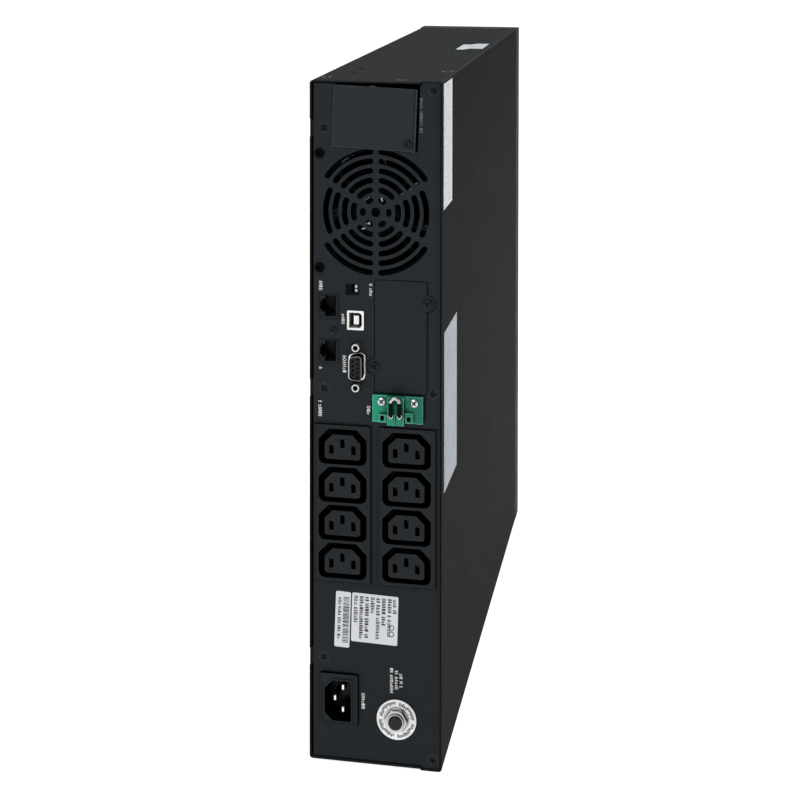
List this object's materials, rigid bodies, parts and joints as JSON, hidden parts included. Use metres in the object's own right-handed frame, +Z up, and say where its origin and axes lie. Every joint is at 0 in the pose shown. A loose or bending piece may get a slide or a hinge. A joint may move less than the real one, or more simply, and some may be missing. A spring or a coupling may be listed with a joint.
{
  "type": "rackmount ups",
  "caption": "Two-unit rack UPS standing on its side: black sheet-steel case, rear panel with fan grille, outlet blocks, inlet and signal ports, front battery drawer and turning display.",
  "frame": {"origin": "Under the middle of the case, on the plane it stands on; +Z is up and carries the 428 mm rack width.", "axes": "+Z up, along the rack width of the unit. +X across the thin 84 mm size, from the base sheet to the cover (rack up). +Y from the rear panel to the front."},
  "size_m": [0.0841, 0.4404, 0.4281],
  "materials": {
    "black_sheet": "fine satin powder coat",
    "black_plastic": "fine moulded texture",
    "plated_steel": "zinc plated",
    "black_screw": "blackened steel",
    "grey_label": "printed film",
    "brass_contact": "stamped",
    "circuit_board": "glass laminate with solder mask",
    "epo_green": "moulded nylon",
    "white_plastic": "moulded",
    "dial_plate": "printed",
    "sink_aluminium": "extruded",
    "capacitor_sleeve": "shrink sleeve",
    "core_and_winding": "pressed ferrite and enamelled copper",
    "relay_case": "moulded",
    "wire_sleeve": "soft sleeve",
    "battery_case": "moulded",
    "lead_plates": "cast lead",
    "connector_red": "moulded",
    "screen_glass": "clear cover over a display"
  },
  "bodies": {
    "case": {"chassis_base": "black_sheet", "top_cover": "black_sheet", "rear_panel": "black_sheet", "front_plate": "black_sheet", "bay_divider": "plated_steel", "case_screws": "black_screw", "panel_screws": "black_screw", "battery_port_cover": "black_sheet", "battery_port_socket": "black_plastic", "card_slot_cover": "black_sheet", "card_cage": "plated_steel", "fan_frame": "black_plastic", "comm_board": "circuit_board", "surge_jacks": "black_plastic", "dip_switch_body": "black_plastic", "usb_port": "white_plastic", "serial_shell": "plated_steel", "serial_insert": "black_plastic", "serial_jackscrews": "plated_steel", "epo_header": "epo_green", "epo_header_screws": "plated_steel", "outlet_block_left": "black_plastic", "outlet_block_right": "black_plastic", "outlet_contacts": "brass_contact", "inlet_housing": "black_plastic", "inlet_pins": "plated_steel", "breaker_body": "black_plastic", "breaker_dial": "dial_plate", "breaker_nut": "plated_steel", "rear_labels": "grey_label", "cover_labels": "grey_label", "power_board": "circuit_board", "board_standoffs": "plated_steel", "heat_sinks": "sink_aluminium", "power_transistors": "black_plastic", "bulk_capacitors": "capacitor_sleeve", "power_transformer": "core_and_winding", "filter_chokes": "core_and_winding", "relays": "relay_case", "control_board": "circuit_board", "wiring": "wire_sleeve", "drawer_guides": "white_plastic", "drawer_socket": "connector_red", "display_bezel": "black_plastic"},
    "fan": {"fan_rotor": "black_plastic"},
    "breaker_reset": {"breaker_button": "black_plastic"},
    "dip_lever_1": {"dip_slider_1": "white_plastic"},
    "dip_lever_2": {"dip_slider_2": "white_plastic"},
    "epo_link": {"epo_plug": "epo_green", "epo_jumper_wire": "black_plastic"},
    "battery_drawer": {"battery_tray": "plated_steel", "battery_cases": "battery_case", "battery_plates": "lead_plates", "drawer_plug": "connector_red", "drawer_front": "black_plastic"},
    "display": {"display_pod": "black_plastic", "display_screen": "screen_glass"},
    "power_key": {"power_button": "black_plastic"},
    "mute_key": {"mute_button": "black_plastic"},
    "select_key": {"select_button": "black_plastic"}
  },
  "joints": [
    {"name": "fan_spin", "type": "hinge", "parent": "case", "child": "fan", "pos_m": [0, -0.2, 0.3458], "axis": [0, -1, 0], "continuous": true},
    {"name": "breaker_trip", "type": "slide", "parent": "case", "child": "breaker_reset", "axis": [0, -1, 0], "range_m": [0, 0.004]},
    {"name": "dip_1_switch", "type": "slide", "parent": "case", "child": "dip_lever_1", "axis": [-1, 0, 0], "range_m": [0, 0.0015]},
    {"name": "dip_2_switch", "type": "slide", "parent": "case", "child": "dip_lever_2", "axis": [-1, 0, 0], "range_m": [0, 0.0015]},
    {"name": "epo_link_pull", "type": "slide", "parent": "case", "child": "epo_link", "axis": [0, -1, 0], "range_m": [0, 0.014]},
    {"name": "drawer_slide", "type": "slide", "parent": "case", "child": "battery_drawer", "axis": [0, 1, 0], "range_m": [0, 0.19]},
    {"name": "display_turn", "type": "hinge", "parent": "case", "child": "display", "pos_m": [0, 0.21, 0.384], "axis": [0, 1, 0], "range_deg": [0, 90]},
    {"name": "power_press", "type": "slide", "parent": "case", "child": "power_key", "axis": [0, -1, 0], "range_m": [0, 0.001]},
    {"name": "mute_press", "type": "slide", "parent": "case", "child": "mute_key", "axis": [0, -1, 0], "range_m": [0, 0.001]},
    {"name": "select_press", "type": "slide", "parent": "case", "child": "select_key", "axis": [0, -1, 0], "range_m": [0, 0.001]}
  ]
}
